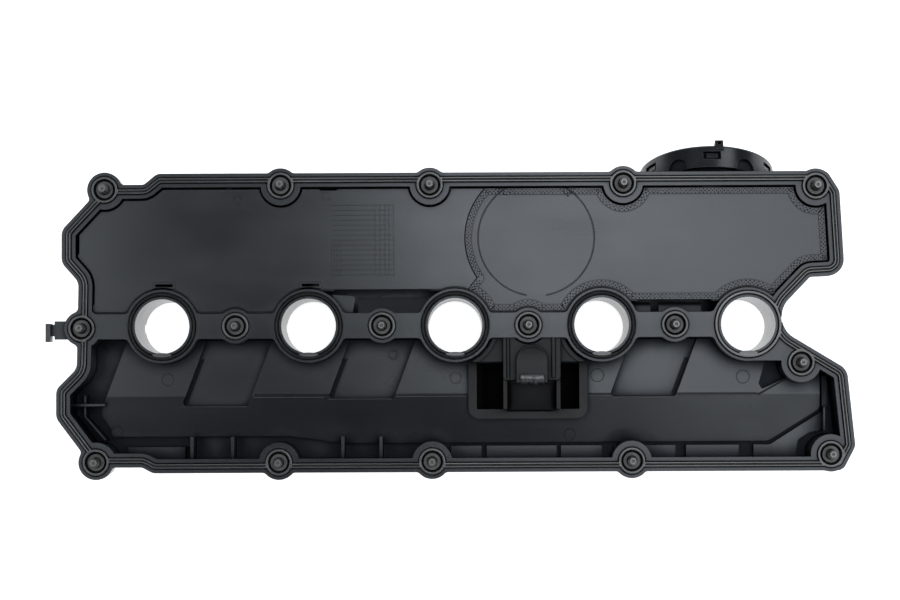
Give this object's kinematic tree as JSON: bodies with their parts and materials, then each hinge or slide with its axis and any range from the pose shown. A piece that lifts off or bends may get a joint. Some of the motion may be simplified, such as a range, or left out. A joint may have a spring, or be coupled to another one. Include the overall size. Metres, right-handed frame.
{
  "type": "engine valve cover",
  "caption": "Moulded valve cover for an inline engine, gasket side up, with coil wells, captive bolts, oil separator plates, crankcase breather and oil filler.",
  "frame": {"origin": "centre of the middle coil well in the plane of the flange's gasket seat", "axes": "+X along the row of coil wells towards the breather end, +Y across the cover towards the separator side, +Z out of the gasket seat towards the cylinder head"},
  "size_m": [0.4854, 0.2037, 0.0956],
  "materials": {
    "cover_plastic": "black glass-filled nylon, satin moulded",
    "plate_plastic": "black nylon, satin with fine mould texture",
    "gasket_rubber": "black moulded rubber",
    "mount_rubber": "soft black rubber",
    "zinc_steel": "dark zinc-plated steel",
    "spring_steel": "bright spring wire",
    "diaphragm_rubber": "thin rubber"
  },
  "bodies": {
    "cover": {"cover_shell": "cover_plastic", "perimeter_gasket": "gasket_rubber", "coil_well_seal_1": "gasket_rubber", "coil_well_seal_2": "gasket_rubber", "coil_well_seal_3": "gasket_rubber", "coil_well_seal_4": "gasket_rubber", "centre_bolt_seals": "gasket_rubber", "mounting_bolts": "zinc_steel", "bolt_sleeves": "zinc_steel", "bolt_grommets": "mount_rubber", "separator_plate_left": "plate_plastic", "separator_plate_right": "plate_plastic", "filler_splash_guard": "plate_plastic", "breather_cap": "plate_plastic", "breather_diaphragm": "diaphragm_rubber", "breather_spring": "spring_steel"},
    "filler_cap": {"oil_filler_cap": "plate_plastic", "filler_cap_seal": "mount_rubber"},
    "breather_valve": {"breather_valve_plate": "plate_plastic"}
  },
  "joints": [
    {"name": "filler_cap_turn", "type": "hinge", "parent": "cover", "child": "filler_cap", "pos_m": [0.046, -0.039, -0.062], "axis": [0, 0, 1], "range_deg": [0, 90]},
    {"name": "breather_valve_travel", "type": "slide", "parent": "cover", "child": "breather_valve", "axis": [0, -0.9455, 0.3256], "range_m": [0, 0.003], "stiffness_N_per_m": 300, "springref_m": -0.001, "deforming": ["breather_spring"]}
  ]
}
